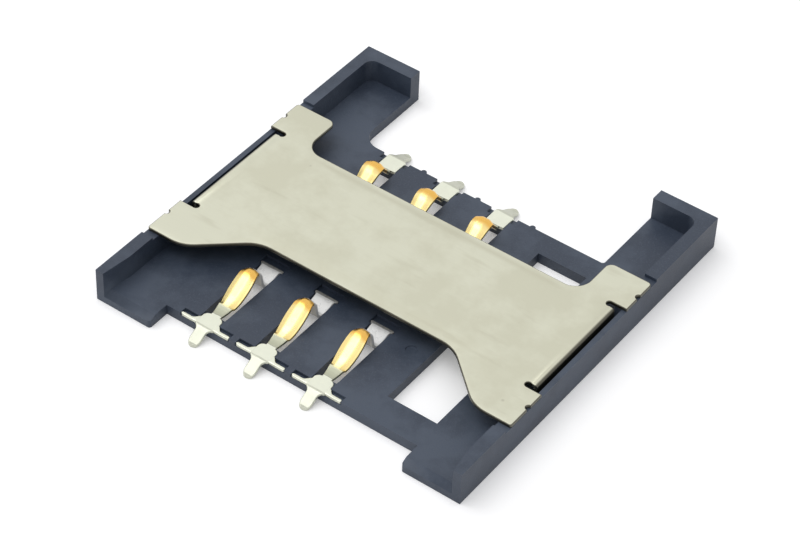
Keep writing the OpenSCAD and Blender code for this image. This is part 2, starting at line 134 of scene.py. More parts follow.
def lamp_power(name, description, watts):
    """Power property of a lamp."""
    return FloatProperty(name=name, description=description, default=watts, min=0.0, unit="POWER")


class SheetSizes(bpy.types.PropertyGroup):
    """Edges of the tray, and the sheet, flanges, nicks and soft raised panel of the bridge."""

    tray_edge: length("Tray edge", "Round on the moulded edges of the tray", 0.035)
    tray_shortest: length("Tray shortest", "Tray edges shorter than this stay sharp", 0.05)
    bridge_sheet: length("Bridge sheet", "Thickness of the bridge", 0.15)
    bridge_edge: length("Bridge edge", "Round on the stamped edges of the bridge", 0.03)
    flange_reach: length("Flange reach", "From the plate's side to the outer face of the flange", 0.214)
    flange_bend: length("Flange bend", "Outer bend radius of the side flanges", 0.13)
    front_nick: length("Front nick", "From the front of the part to the nicks in the front tabs", 4.022)
    back_nick: length("Back nick", "From the front of the part to the nicks in the back tabs", 11.073)
    nick_growth: share("Nick growth", "How much wider the nicks tear than they are cut", 1.7)
    panel_height: length("Panel height", "Rise of the raised panel", 0.08)
    panel_slope: length("Panel slope", "Width of the slope before and behind the panel", 0.45)
    panel_share: share("Panel share", "Part of the rise that the soft panel keeps", 0.5)
    panel_end: length("Panel end", "Width of the soft slope at the panel's ends", 1.6)
    panel_margin: length("Panel margin", "Plate before and behind the panel", 0.12)
    panel_side: length("Panel side", "Plate beside the panel", 1.9)
    waist_front: length("Waist front", "From the front of the part to the plate between the tabs", 4.82)
    waist_depth: length("Waist depth", "Depth of the plate between the tabs", 5.2)
    grid: length("Grid", "Spacing of the points that let the plate bend softly", 0.26)
    wave: length("Wave", "Height of the slow unevenness of the rolled plate", 0.004)


class ContactSizes(bpy.types.PropertyGroup):
    """Sizes of the stamped and coined contacts."""

    sheet: length("Sheet", "Thickness of the sheet", 0.13)
    edge: length("Edge", "Round on the stamped edges", 0.03)
    pitch: length("Pitch", "Distance between neighbours in a row", 2.54)
    count: IntProperty(name="Count", description="Contacts in a row", default=3, min=1)
    seat: length("Seat", "Length of the pad on its seat", 0.74)
    tail: length("Tail", "Length of the tail before the seat", 0.78)
    tail_root: length("Tail root", "Flat of the pad before the tail bends down", 0.02)
    tail_bend: length("Tail bend", "Bend radius of the tail", 0.17)
    foot: length("Foot", "Flat foot that is soldered", 0.1)
    drop: length("Drop", "From the top of the pad to the top of the foot", 0.33)
    tail_width: length("Tail width", "Width of the tail", 0.48)
    pad_width: length("Pad width", "Width of the pad", 0.84)
    shoulder: length("Shoulder", "Length of the neck on the seat", 0.1)
    front_corner: length("Front corner", "Round on the pad's corners at the window, front row", 0.2)
    rear_corner: length("Rear corner", "Round on the pad's corners at the window, rear row", 0.05)
    neck_width: length("Neck width", "Width between the pad and the spoon", 0.42)
    spoon_width: length("Spoon width", "Widest place of the spoon", 0.8)
    spoon_round: length("Spoon round", "Radius of the long edges of the spoon", 3.0)
    front_belly: length("Front belly", "From the spoon's widest place to the crown, front row", 0.65)
    rear_belly: length("Rear belly", "From the crown to the spoon's widest place, rear row", 0.2)
    tongue_width: length("Tongue width", "Width of the tongue behind the crown, front row", 0.82)
    arch: length("Arch", "How far the long edges of the spoon are coined down", 0.09)
    lift: length("Lift", "Height of the crown over the pad", 0.77)
    crown_flat: length("Crown flat", "Flat on the crown", 0.02)
    arm_span: length("Arm span", "Over the two side arms", 2.2)
    arm_width: length("Arm width", "Width of a side arm", 0.14)
    bar_width: length("Bar width", "Width of the cross bar at the free end", 1.04)
    bar_length: length("Bar length", "Length of the cross bar", 0.14)
    front_lead: length("Front lead", "Flat lead before the spoon, front row", 0.5)
    front_crown: length("Front crown", "From the pad to the crown, front row", 1.89)
    front_soft: length("Front soft bend", "Radius of the long bend, front row", 1.9)
    front_round: length("Front crown round", "Radius of the crown, front row", 0.4)
    front_fall: length("Front fall", "From the crown to the dip, front row", 0.62)
    front_dip: length("Front dip", "Depth of the dip under the pad, front row", 0.16)
    front_reach: length("Front reach", "From the pad to the cross bar, front row", 3.155)
    rear_lead: length("Rear lead", "Flat lead before the spoon, rear row", 0.2)
    rear_crown: length("Rear crown", "From the pad to the crown, rear row", 0.76)
    rear_soft: length("Rear soft bend", "Radius of the crown, rear row, towards the tip", 0.8)
    rear_fall: length("Rear fall", "From the crown to the floor, rear row", 1.4)
    rear_reach: length("Rear reach", "From the pad to the cross bar, rear row", 2.51)
    bend: length("Bend", "Radius of the short bends", 0.3)


class Finishes(bpy.types.PropertyGroup):
    """Colours of the plastic, the plate, the coats of the contacts and the floor."""

    plastic: colour("Plastic", "Moulded plastic of the tray", (0.028, 0.040, 0.065))
    # paler patches are the plastic's own tone; on the rounded edges this colour is a painted highlight
    plastic_pale_and_highlight: colour("Plastic pale", "Paler patches and rubbed edges", (0.060, 0.078, 0.112))
    steel: colour("Steel", "Rolled plate of the bridge", (0.67, 0.67, 0.545))
    # dull patches are the plate's own tone; on the panel's slopes this colour is painted shade
    steel_dull_and_shade: colour("Steel dull", "Dull patches of the plate", (0.57, 0.56, 0.44))
    steel_speck: colour("Steel speck", "Small dark specks on the plate", (0.16, 0.13, 0.09))
    steel_scuff: colour("Steel scuff", "Brownish rubbed streaks on the plate", (0.47, 0.45, 0.34))
    # painted shade: the plate's edge faces and its flanges in their slots are darkened to this colour
    steel_edge_shade: colour("Steel edge", "Sheared edges of the plate", (0.13, 0.125, 0.10))
    tin: colour("Tin", "Plating of tails and pads", (0.81, 0.83, 0.70))
    tin_dull: colour("Tin dull", "Dull patches of that plating", (0.66, 0.67, 0.60))
    tail: colour("Tail", "Matt solder coat of the tails", (0.56, 0.57, 0.48))
    # painted shade: a dark line where the neck leaves the pad
    crease_shade: colour("Crease", "Line where the neck leaves the pad", (0.36, 0.36, 0.30))
    lead: colour("Lead", "Bare neck between pad and spoon", (0.46, 0.47, 0.36))
    tongue: colour("Tongue", "Bare matt tongue behind the crown", (0.78, 0.78, 0.77))
    # painted shade: the bar lies in the bridge's shadow and is darkened to this colour
    bar: colour("Bar", "Cross bar at the end of the tongue", (0.26, 0.26, 0.25))
    gold: colour("Gold", "Plating of the springs", (0.92, 0.76, 0.34))
    # patches of this colour are the plating's own tone; about the crown it is painted shade
    gold_patch_and_shade: colour("Gold deep", "Deeper patches of that plating", (0.84, 0.50, 0.12))
    paper: colour("Paper", "Floor under the part", (0.90, 0.90, 0.91))


class StageSettings(bpy.types.PropertyGroup):
    """Camera, light and floor of the studio."""

    camera_place: FloatVectorProperty(name="Camera place", description="Camera in the frame", size=3,
                                      default=(0.04281, -0.06256, 0.07164), precision=5,
                                      subtype="TRANSLATION", unit="LENGTH")
    azimuth: view_angle("Azimuth", "Turn of the view about +Z", 34.674)
    elevation: view_angle("Elevation", "Height of the view", 43.316)
    roll: view_angle("Roll", "Lean of the camera", 2.548)
    lens: FloatProperty(name="Lens", description="Focal length on a 36 mm sensor", default=126.02,
                        min=1.0, unit="CAMERA")
    key_power: lamp_power("Key power", "Power of the key lamp", 0.065)
    fill_power: lamp_power("Fill power", "Power of the overhead lamp", 0.15)
    sky: share("Sky", "Strength of the soft light from all around", 0.74)
    sky_low: share("Low sky", "Share of that light that is as strong at the horizon", 0.1)
    sky_lean: share("Sky lean", "How much stronger that light is on the left", 0.25)
    floor_size: length("Floor size", "Side of the floor", 1200.0)
    floor_lift: share("Floor lift", "White that the floor adds for the camera and in reflections", 0.20)


def feed(tree, node, feeds):
    """Links outputs to a node's inputs, or sets plain values on them."""
    for name, value in feeds.items():
        if isinstance(value, bpy.types.NodeSocket):
            tree.links.new(value, node.inputs[name])
        else:
            node.inputs[name].default_value = value


def add_node(tree, kind, feeds=None, **values):
    """New node with attributes and fed inputs."""
    node = tree.nodes.new(kind)
    for name, value in values.items():
        setattr(node, name, value)
    feed(tree, node, feeds or {})
    return node


def reckoned(tree, operation, *values):
    """Output of a math node over outputs and plain values."""
    node = add_node(tree, "ShaderNodeMath", dict(enumerate(values)), operation=operation)
    return node.outputs["Value"]


def mixed(tree, factor, first, second):
    """Colour output that goes from first to second; each is a colour or an output."""
    feeds = {"Factor": factor}
    for socket, value in zip(MIX_ENDS, (first, second)):
        feeds[socket] = value if isinstance(value, bpy.types.NodeSocket) else (*value, 1.0)
    return add_node(tree, "ShaderNodeMix", feeds, data_type="RGBA").outputs[2]


def ranged(tree, value, low, high, start=0.0, end=1.0, smooth=False):
    """Value output mapped from start to end onto low to high."""
    feeds = {"Value": value, "From Min": start, "From Max": end, "To Min": low, "To Max": high}
    kind = "SMOOTHSTEP" if smooth else "LINEAR"
    return add_node(tree, "ShaderNodeMapRange", feeds, interpolation_type=kind).outputs["Result"]


def zone(tree, travelled, start, end, soft):
    """Factor that is 1 between two distances, with soft ends."""
    rising = ranged(tree, travelled, 0.0, 1.0, start, start + soft, smooth=True)
    falling = ranged(tree, travelled, 1.0, 0.0, end - soft, end, smooth=True)
    return reckoned(tree, "MULTIPLY", rising, falling)


def bumped(tree, shader, height, strength, depth):
    """Bump on the shader's normal; depth in metres."""
    bump = add_node(tree, "ShaderNodeBump", {"Height": height, "Strength": strength, "Distance": depth})
    feed(tree, shader, {"Normal": bump.outputs["Normal"]})


def new_tree(name, kind, inputs, outputs):
    """Empty node tree with named sockets, and its two end nodes."""
    tree = bpy.data.node_groups.new(name, kind)
    for title, socket_kind, *default in inputs:
        socket = tree.interface.new_socket(title, in_out="INPUT", socket_type=socket_kind)
        if default:
            socket.default_value = default[0]
    for title, socket_kind in outputs:
        tree.interface.new_socket(title, in_out="OUTPUT", socket_type=socket_kind)
    return tree, add_node(tree, "NodeGroupInput"), add_node(tree, "NodeGroupOutput")


def surface_group():
    """Slow patches and fine grain, which every finish here uses with its own scales."""
    name = "patches_and_grain"
    if name in bpy.data.node_groups:
        return bpy.data.node_groups[name]
    tree, start, end = new_tree(
        name, "ShaderNodeTree",
        [("Place", "NodeSocketVector"), ("Patch Scale", "NodeSocketFloat", 1000.0),
         ("Grain Scale", "NodeSocketFloat", 20000.0), ("Stretch", "NodeSocketVector", (1.0, 1.0, 1.0))],
        [("Patches", "NodeSocketFloat"), ("Grain", "NodeSocketFloat")])
    given = start.outputs
    patches = add_node(tree, "ShaderNodeTexNoise", {
        "Vector": given["Place"], "Scale": given["Patch Scale"], "Detail": 4.0, "Roughness": 0.62})
    stretch = add_node(tree, "ShaderNodeVectorMath", {0: given["Place"], 1: given["Stretch"]},
                       operation="MULTIPLY")
    grain = add_node(tree, "ShaderNodeTexNoise", {
        "Vector": stretch.outputs["Vector"], "Scale": given["Grain Scale"], "Detail": 3.0})
    feed(tree, end, {"Patches": ranged(tree, patches.outputs["Fac"], 0.0, 1.0, start=0.3, end=0.7),
                     "Grain": grain.outputs["Fac"]})
    return tree


def edge_paint_group():
    """Mask of the marked edges, which take a painted highlight on the tray and painted shade on the
    bridge, and which patches may break up.
    """
    name = "rubbed_edges"
    if name in bpy.data.node_groups:
        return bpy.data.node_groups[name]
    tree, start, end = new_tree(
        name, "ShaderNodeTree", [("Patches", "NodeSocketFloat", 1.0), ("Amount", "NodeSocketFloat", 1.0)],
        [("Mask", "NodeSocketFloat")])
    edge = add_node(tree, "ShaderNodeAttribute", attribute_name="rubbed_edge")
    broken = reckoned(tree, "MULTIPLY", edge.outputs["Fac"], start.outputs["Patches"])
    feed(tree, end, {"Mask": reckoned(tree, "MULTIPLY", broken, start.outputs["Amount"])})
    return tree


def blank_material(name):
    """Material with a lone Principled shader; returns it with its tree, shader and place output."""
    material = bpy.data.materials.new(name)
    material.use_nodes = True
    tree = material.node_tree
    tree.nodes.clear()
    shader = add_node(tree, "ShaderNodeBsdfPrincipled")
    add_node(tree, "ShaderNodeOutputMaterial", {"Surface": shader.outputs["BSDF"]})
    return material, tree, shader, add_node(tree, "ShaderNodeTexCoord").outputs["Object"]


def surfaced(tree, place, patch_scale, grain_scale, stretch=(1.0, 1.0, 1.0)):
    """Patches and grain outputs at a finish's own scales."""
    feeds = {"Place": place, "Patch Scale": patch_scale, "Grain Scale": grain_scale, "Stretch": stretch}
    group = add_node(tree, "ShaderNodeGroup", feeds, node_tree=surface_group())
    return group.outputs["Patches"], group.outputs["Grain"]


def painted_edge_mask(tree, patches=1.0, amount=1.0):
    """Mask output of the edges."""
    feeds = {"Patches": patches, "Amount": amount}
    return add_node(tree, "ShaderNodeGroup", feeds, node_tree=edge_paint_group()).outputs["Mask"]


def moulded_plastic(finish):
    """Matt moulded plastic with a spark-eroded grain, paler patches, and paler edges that are a painted
    highlight.
    """
    material, tree, shader, place = blank_material("moulded_plastic")
    patches, grain = surfaced(tree, place, patch_scale=360.0, grain_scale=16000.0)
    pale = finish.plastic_pale_and_highlight
    cloudy = mixed(tree, ranged(tree, patches, 0.0, 0.8, start=0.35, end=0.75), finish.plastic, pale)
    speckled = mixed(tree, ranged(tree, grain, 0.0, 0.5, start=0.52, end=0.75), cloudy, pale)
    # the marked edges are painted paler: a painted highlight
    feed(tree, shader, {"Base Color": mixed(tree, painted_edge_mask(tree, patches, amount=0.9), speckled, pale),
                        "Roughness": ranged(tree, patches, 0.46, 0.58)})
    bumped(tree, shader, grain, strength=0.55, depth=0.012 * MM)
    return material


def rolled_steel(finish):
    """Satin rolled plate with grain along X, dull patches, painted shade on the panel's slopes and on the
    edges, dark specks and brownish scuffs.
    """
    material, tree, shader, place = blank_material("rolled_steel")
    patches, grain = surfaced(tree, place, patch_scale=420.0, grain_scale=14000.0,
                              stretch=(0.035, 1.0, 1.0))
    dull = finish.steel_dull_and_shade
    cloudy = mixed(tree, ranged(tree, patches, 0.0, 0.6, start=0.3, end=0.75), finish.steel, dull)
    lined = mixed(tree, ranged(tree, grain, 0.0, 0.12, start=0.5, end=0.75), cloudy, dull)
    # painted shade: the panel's slopes are darkened towards the dull steel
    slope_shade = add_node(tree, "ShaderNodeAttribute", attribute_name="panel_rim")
    slope_shaded = mixed(tree, ranged(tree, slope_shade.outputs["Fac"], 0.0, 0.9, start=0.2), lined, dull)
    cells = add_node(tree, "ShaderNodeTexVoronoi", {"Vector": place, "Scale": 420.0})
    speck = ranged(tree, cells.outputs["Distance"], 0.45, 0.0, start=0.02, end=0.05, smooth=True)
    specked = mixed(tree, speck, slope_shaded, finish.steel_speck)
    drawn_out = add_node(tree, "ShaderNodeMapping", {"Vector": place, "Scale": (0.3, 1.6, 1.0)})
    streaks = add_node(tree, "ShaderNodeTexNoise", {
        "Vector": drawn_out.outputs["Vector"], "Scale": 1100.0, "Detail": 3.0})
    scuff = ranged(tree, streaks.outputs["Fac"], 0.0, 0.32, start=0.58, end=0.76, smooth=True)
    scuffed = mixed(tree, scuff, specked, finish.steel_scuff)
    # the marked edges and flanges take painted shade
    feed(tree, shader, {"Base Color": mixed(tree, painted_edge_mask(tree), scuffed, finish.steel_edge_shade),
                        "Metallic": 1.0, "Roughness": ranged(tree, patches, 0.34, 0.44)})
    bumped(tree, shader, grain, strength=0.05, depth=0.004 * MM)
    return material


def plated_metal(name, finish, pad_edge, forward, stops):
    """Contact sheet: dull tail, tin-bright pad, bare lead, gold spring, bare tongue and dark bar; the
    dark line at the pad's edge, the deeper gold about the crown and the bar's darkness are painted shade.

    The coats start at distances from the pad's edge, forward along Y or against it.
    """
    material, tree, shader, place = blank_material(name)
    patches, grain = surfaced(tree, place, patch_scale=2400.0, grain_scale=30000.0,
                              stretch=(1.0, 0.15, 1.0))
    along = add_node(tree, "ShaderNodeSeparateXYZ", {"Vector": place})
    distance = reckoned(tree, "MULTIPLY_ADD", along.outputs["Y"], forward, -forward * pad_edge)
    ragged = 0.04 * MM
    travelled = reckoned(tree, "MULTIPLY_ADD", patches, ragged, distance)
    tin = mixed(tree, ranged(tree, patches, 0.0, 0.3), finish.tin, finish.tin_dull)
    pale = mixed(tree, ranged(tree, patches, 0.0, 0.2), finish.gold, finish.gold_patch_and_shade)
    # painted shade: deeper orange gold about the crown
    crown_shade = zone(tree, travelled, stops["crown_shade_start"], stops["crown_shade_end"], soft=0.2 * MM)
    gold = mixed(tree, crown_shade, pale, finish.gold_patch_and_shade)
    far = 10.0 * MM
    coats = {       # start, end, soft width and colour; each lies over the one before
        "pad": (stops["pad"], far, 0.06 * MM, tin),
        # painted shade along the pad's edge
        "crease_shade": (-0.01 * MM, 0.06 * MM, 0.03 * MM, finish.crease_shade),
        "lead": (0.02 * MM, far, 0.04 * MM, finish.lead),
        "gold": (stops["gold"], far, 0.16 * MM, gold),
        "tongue": (stops["tongue"], far, 0.06 * MM, finish.tongue),
        # painted shade on the cross bar
        "bar": (stops["bar"], far, 0.04 * MM, finish.bar)}
    shown = finish.tail
    masks = {}
    for title, (start, end, soft, coat) in coats.items():
        masks[title] = zone(tree, travelled, start, end, soft)
        shown = mixed(tree, masks[title], shown, coat)
    rough = reckoned(tree, "ADD", ranged(tree, patches, 0.0, 0.08),
                     ranged(tree, masks["gold"], 0.40, 0.24))
    feed(tree, shader, {"Base Color": shown, "Metallic": ranged(tree, masks["tongue"], 1.0, 0.1),
                        "Roughness": rough})
    bumped(tree, shader, grain, strength=0.2, depth=0.003 * MM)
    return material


def linked(name, data):
    """New object in the scene for a mesh, lamp or camera."""
    item = bpy.data.objects.new(name, data)
    bpy.context.scene.collection.objects.link(item)
    return item


def evaluated_mesh(seed, change):
    """Plain mesh of an object and its one modifier, both of which are then removed."""
    graph = bpy.context.evaluated_depsgraph_get()
    mesh = bpy.data.meshes.new_from_object(seed.evaluated_get(graph))
    seed.modifiers.remove(change)
    bpy.data.objects.remove(seed)
    return mesh


def new_piece(name, mesh, nodes, material):
    """Object at the origin that rides on the part and stands for its nodes."""
    mesh.materials.clear()
    mesh.materials.append(material)
    piece = linked(name, mesh)
    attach(piece, "root")
    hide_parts(*nodes)


def merged_copy(node):
    """Closed bmesh of a node with its triangles joined into whole faces."""
    work = bmesh.new()
    work.from_mesh(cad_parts[node].data)
    bmesh.ops.remove_doubles(work, verts=work.verts, dist=SAME_PLACE)
    bmesh.ops.dissolve_limit(work, angle_limit=math.radians(0.5), verts=work.verts, edges=work.edges)
    return work


def round_edges(work, width, shortest):
    """Rounds the long sharp outer edges and marks the new faces, which the plastic paints paler as a
    painted highlight.
    """
    edge_paint = work.faces.layers.float.new("rubbed_edge")
    sharp = math.radians(35)
    edges = [edge for edge in work.edges if edge.is_manifold and edge.calc_length() > shortest
             and edge.calc_face_angle_signed() > sharp]
    made = bmesh.ops.bevel(work, geom=edges, offset=width, offset_type="OFFSET", segments=2, profile=0.5,
                           affect="EDGES", clamp_overlap=True, loop_slide=True)
    for face in made["faces"]:
        face[edge_paint] = 1.0


def finished_mesh(work, name, angle):
    """Mesh of a bmesh with smooth faces and sharp edges above an angle."""
    mesh = bpy.data.meshes.new(name)
    work.to_mesh(mesh)
    work.free()
    mesh.polygons.foreach_set("use_smooth", [True] * len(mesh.polygons))
    mesh.set_sharp_from_angle(angle=angle)
    return mesh


def face_weighted(mesh):
    """Copy of a mesh whose normals follow its larger faces."""
    seed = linked(mesh.name + "_seed", mesh)
    change = seed.modifiers.new("weighted", "WEIGHTED_NORMAL")
    change.mode = "FACE_AREA"
    change.keep_sharp = True
    return evaluated_mesh(seed, change)


def smooth_step(value):
    """Soft step from 0 to 1."""
    held = min(max(value, 0.0), 1.0)
    return held * held * (3.0 - 2.0 * held)


class MakeTray(bpy.types.Operator):
    """Makes the moulded tray with softened edges"""

    bl_idname = "card_socket.make_tray"
    bl_label = "Tray"

    def execute(self, context):
        scene = context.scene
        sizes = scene.sheet_sizes
        work = merged_copy("housing")
        round_edges(work, sizes.tray_edge, sizes.tray_shortest)
        mesh = face_weighted(finished_mesh(work, "tray", math.radians(32)))
        new_piece("tray", mesh, ["housing"], moulded_plastic(scene.finishes))
        return {"FINISHED"}


def panel_insets(sizes, x, y):
    """Distances inside the panel's foot, from its ends and from its front or back."""
    half_x = CAD_BOX[1][0] - sizes.panel_side
    half_y = sizes.waist_depth / 2 - sizes.panel_margin
    middle = CAD_BOX[0][1] + sizes.waist_front + sizes.waist_depth / 2
    return half_x - abs(x), half_y - abs(y - middle)


def plate_level(sizes):
    """Height of the plate's top beside the panel."""
    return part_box("bridge")[1].z - sizes.panel_height


def plate_outline(sizes):
    """Loop (x, y, runs on) of the plate's top; a side that runs on bends down into a flange."""
    source = bmesh.new()
    source.from_mesh(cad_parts["bridge"].data)
    level = plate_level(sizes)
    for vert in source.verts:
        if vert.co.z > level - SNAP:
            vert.co.z = level
    bmesh.ops.remove_doubles(source, verts=source.verts, dist=SAME_PLACE)
    source.normal_update()
    upper = {face for face in source.faces
             if all(abs(vert.co.z - level) < LEVEL_SLACK for vert in face.verts)}
    following = {}
    for edge in source.edges:
        inside = [face for face in edge.link_faces if face in upper]
        outside = [face for face in edge.link_faces if face not in upper]
        if len(inside) == 1 and outside:
            for corner in inside[0].loops:
                if corner.edge == edge:
                    following[corner.vert] = (corner.link_loop_next.vert, outside[0].normal.z > LEANS_OUT)
    here = next(iter(following))
    loop = []
    for _ in range(len(following)):
        after, runs_on = following[here]
        loop.append((here.co.x, here.co.y, runs_on))
        here = after
    source.free()
    return straightened([torn(sizes, *point) for point in loop])


def torn(sizes, x, y, runs_on):
    """Point of the loop, moved outwards where it belongs to a nick."""
    side = CAD_BOX[1][0]
    depth = side - abs(x)
    for nick in (sizes.front_nick, sizes.back_nick):
        off = y - CAD_BOX[0][1] - nick
        if depth < NICK_DEPTH and abs(off) < NICK_HALF:
            return (math.copysign(side - depth * sizes.nick_growth, x),
                    CAD_BOX[0][1] + nick + off * sizes.nick_growth, runs_on)
    return x, y, runs_on


def neighbours(loop):
    """Each point of a loop with the point before and the point after."""
    return zip(loop[-1:] + loop[:-1], loop, loop[1:] + loop[:1])


def straightened(loop):
    """Loop without the points that lie on a straight side."""
    kept = []
    for (x0, y0, before), (x, y, runs_on), (x1, y1, _) in neighbours(loop):
        turn = (x - x0) * (y1 - y) - (y - y0) * (x1 - x)
        reach = math.hypot(x - x0, y - y0) * math.hypot(x1 - x, y1 - y)
        if abs(turn) > STRAIGHT * reach or before != runs_on:
            kept.append((x, y, runs_on))
    return kept


def inset_points(loop, distance):
    """Points of a loop moved inwards; the ends of a side that runs on stay."""
    moved = []
    for (x0, y0, before), (x, y, runs_on), (x1, y1, _) in neighbours(loop):
        shift = Vector((0.0, 0.0))
        if not (runs_on or before):
            first = Vector((y0 - y, x - x0)).normalized()
            second = Vector((y - y1, x1 - x)).normalized()
            shift = (first + second) * (distance / (1.0 + first.dot(second)))
        moved.append((x + shift.x, y + shift.y))
    return moved


def well_inside(points, x, y, margin):
    """Whether a place lies inside a loop and at least a margin from its sides."""
    inside = False
    for (x0, y0), (x1, y1) in zip(points, points[1:] + points[:1]):
        across, up = x1 - x0, y1 - y0
        share_on = ((x - x0) * across + (y - y0) * up) / (across * across + up * up)
        share_on = min(max(share_on, 0.0), 1.0)
        if math.hypot(x - x0 - share_on * across, y - y0 - share_on * up) < margin:
            return False
        if (y0 > y) != (y1 > y) and x < x0 + across * (y - y0) / up:
            inside = not inside
    return inside


def plate_cap(loop, step):
    """Places, triangles and loop numbers of a loop filled with a grid of points."""
    points = [(x / MM, y / MM) for x, y in loop]
    step = step / MM
    count = len(points)
    low = [min(place[axis] for place in points) for axis in (0, 1)]
    high = [max(place[axis] for place in points) for axis in (0, 1)]
    places = [Vector(place) for place in points]
    for i in range(int((high[0] - low[0]) / step) + 1):
        for j in range(int((high[1] - low[1]) / step) + 1):
            x, y = low[0] + i * step, low[1] + j * step
            if well_inside(points, x, y, step * CLEAR):
                places.append(Vector((x, y)))
    filled = delaunay_2d_cdt(places, [], [list(range(count))], 1, 1e-6)
    numbers = [next((i for i in source if i < count), None) for source in filled[3]]
    return [(place.x * MM, place.y * MM) for place in filled[0]], filled[2], numbers


def sheet_plate(work, loop, sizes):
    """Flat sheet over a loop with round edges, whose edge faces are marked for painted shade."""
    edge_paint = work.faces.layers.float.new("rubbed_edge")
    level = plate_level(sizes)
    edge = sizes.bridge_edge
    floor = level - sizes.bridge_sheet
    rows = []
    for above, angles in ((False, (90, 60, 30, 0)), (True, (0, 30, 60, 90))):
        for angle in angles:
            turn = math.radians(angle)
            depth = edge * (1 - math.sin(turn))
            z = level - depth if above else floor + depth
            places = inset_points(loop, edge * (1 - math.cos(turn)))
            rows.append([work.verts.new((x, y, z)) for x, y in places])
    count = len(loop)
    # every edge face of the plate takes full painted shade
    for lower, upper in zip(rows, rows[1:]):
        for i in range(count):
            j = (i + 1) % count
            work.faces.new((lower[i], lower[j], upper[j], upper[i]))[edge_paint] = 1.0
    places, triangles, numbers = plate_cap(inset_points(loop, edge), sizes.grid)
    for row, z, turned in ((rows[-1], level, False), (rows[0], floor, True)):
        verts = [work.verts.new((*place, z)) if number is None else row[number]
                 for place, number in zip(places, numbers)]
        for triangle in triangles:
            corners = [verts[i] for i in triangle]
            work.faces.new(reversed(corners) if turned else corners)


def side_flanges(work, loop, sizes):
    """Bends and legs of the sides that run on, down to the bottom of the bridge; past the bend's start
    they take painted shade.
    """
    level = plate_level(sizes)
    edge_paint = work.faces.layers.float["rubbed_edge"]
    radius = sizes.flange_bend
    straight = sizes.flange_reach - radius
    shade_run = 0.6 * radius
    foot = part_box("bridge")[0].z
    path = [(0.0, 0.0, 0.0)]
    for turn in range(0, 91, 10):
        angle = math.radians(turn)
        path.append((straight + radius * math.sin(angle), radius * (math.cos(angle) - 1), angle))
    path.append((sizes.flange_reach, foot - level, math.radians(90)))
    for (x, y, runs_on), (_, after, _) in zip(loop, loop[1:] + loop[:1]):
        if not runs_on:
            continue
        side = math.copysign(1.0, x)
        ring = section(abs(after - y) / 2, sizes.bridge_sheet, sizes.bridge_edge, 0.0, columns=6)
        rings = []
        for out, down, turn in path:
            rings.append([(x + side * (out + up * math.sin(turn)), (y + after) / 2 + across,
                           level + down + up * math.cos(turn)) for across, up in ring])
        before = len(work.faces)
        loft(work, rings)
        work.faces.ensure_lookup_table()
        for face in work.faces[before:]:
            beyond = abs(face.calc_center_median().x) - abs(x) - straight
            # painted shade: the flange darkens from the start of its bend on
            face[edge_paint] = smooth_step(beyond / shade_run)


def slow_wave(x, y):
    """Uneven swell of a rolled plate, from -2 to 2, in waves 6 to 15 mm long."""
    square = math.sin(x * 900.0 + 0.6) * math.sin(y * 1100.0 + 1.1)
    return square + math.sin(x * 430.0 - y * 520.0)


def soften_panel(work, sizes):
    """Raises the soft panel with a slow wave and marks its slopes for painted shade."""
    floor = plate_level(sizes) - sizes.bridge_sheet * 1.1
    slope_shade = work.verts.layers.float.new("panel_rim")
    for vert in work.verts:
        x, y, z = vert.co
        if z < floor:
            continue
        aside, along = panel_insets(sizes, x, y)
        end = smooth_step(aside / sizes.panel_end)
        slope = smooth_step(along / sizes.panel_slope)
        soft = end * slope
        raised = z + sizes.panel_share * soft * sizes.panel_height
        vert.co.z = raised + 0.5 * sizes.wave * (slow_wave(x, y) - 1.0) * soft
        # how strongly each point of the slopes takes painted shade
        vert[slope_shade] = 4.0 * slope * (1.0 - slope) * end


class MakeBridge(bpy.types.Operator):
    """Makes the stamped bridge with a soft raised panel"""

    bl_idname = "card_socket.make_bridge"
    bl_label = "Bridge"

    def execute(self, context):
        scene = context.scene
        sizes = scene.sheet_sizes
        loop = plate_outline(sizes)
        work = bmesh.new()
        sheet_plate(work, loop, sizes)
        side_flanges(work, loop, sizes)
        bmesh.ops.recalc_face_normals(work, faces=work.faces)
        soften_panel(work, sizes)
        mesh = face_weighted(finished_mesh(work, "bridge_plate", math.radians(40)))
        new_piece("bridge_plate", mesh, ["bridge"], rolled_steel(scene.finishes))
        return {"FINISHED"}


def climb(run, rise, low, high):
    """Points (y, z, slope) of a line that leaves level, climbs between two arcs and ends level."""
    total = low + high
    reach = math.hypot(run, rise - total)
    slope = math.atan2(rise - total, run) + math.asin(total / reach)
    turns = max(3, math.ceil(math.degrees(slope) / ARC_STEP))
    points = []
    for i in range(turns + 1):
        angle = slope * i / turns
        points.append((low * math.sin(angle), low * (1 - math.cos(angle)), angle))
    for i in range(turns + 1):
        angle = slope * (1 - i / turns)
        points.append((run - high * math.sin(angle), rise - high * (1 - math.cos(angle)), angle))
    return points


def fall(run, drop, high, low):
    """The same line walked down: level, arc, straight, arc, level."""
    return [(run - y, z - drop, -angle) for y, z, angle in reversed(climb(run, drop, low, high))]


def chained(start, *parts):
    """Joins lines end to end from a start point; a plain number is a level stretch."""
    y, z = start
    points = [(y, z, 0.0)]
    for part in parts:
        steps = [(part, 0.0, 0.0)] if isinstance(part, float) else part
        points += [(y + along, z + up, angle) for along, up, angle in steps]
        y, z = points[-1][:2]
    return points


def densified(points, step):
    """Adds points between far neighbours and drops doubled ones."""
    doubled = step / 40
    dense = [points[0]]
    for point in points[1:]:
        last = dense[-1]
        gap = math.hypot(point[0] - last[0], point[1] - last[1])
        if gap < doubled:
            continue
        pieces = max(1, math.ceil(gap / step))
        for i in range(1, pieces + 1):
            dense.append(tuple(a + (b - a) * i / pieces for a, b in zip(last, point)))
    return dense


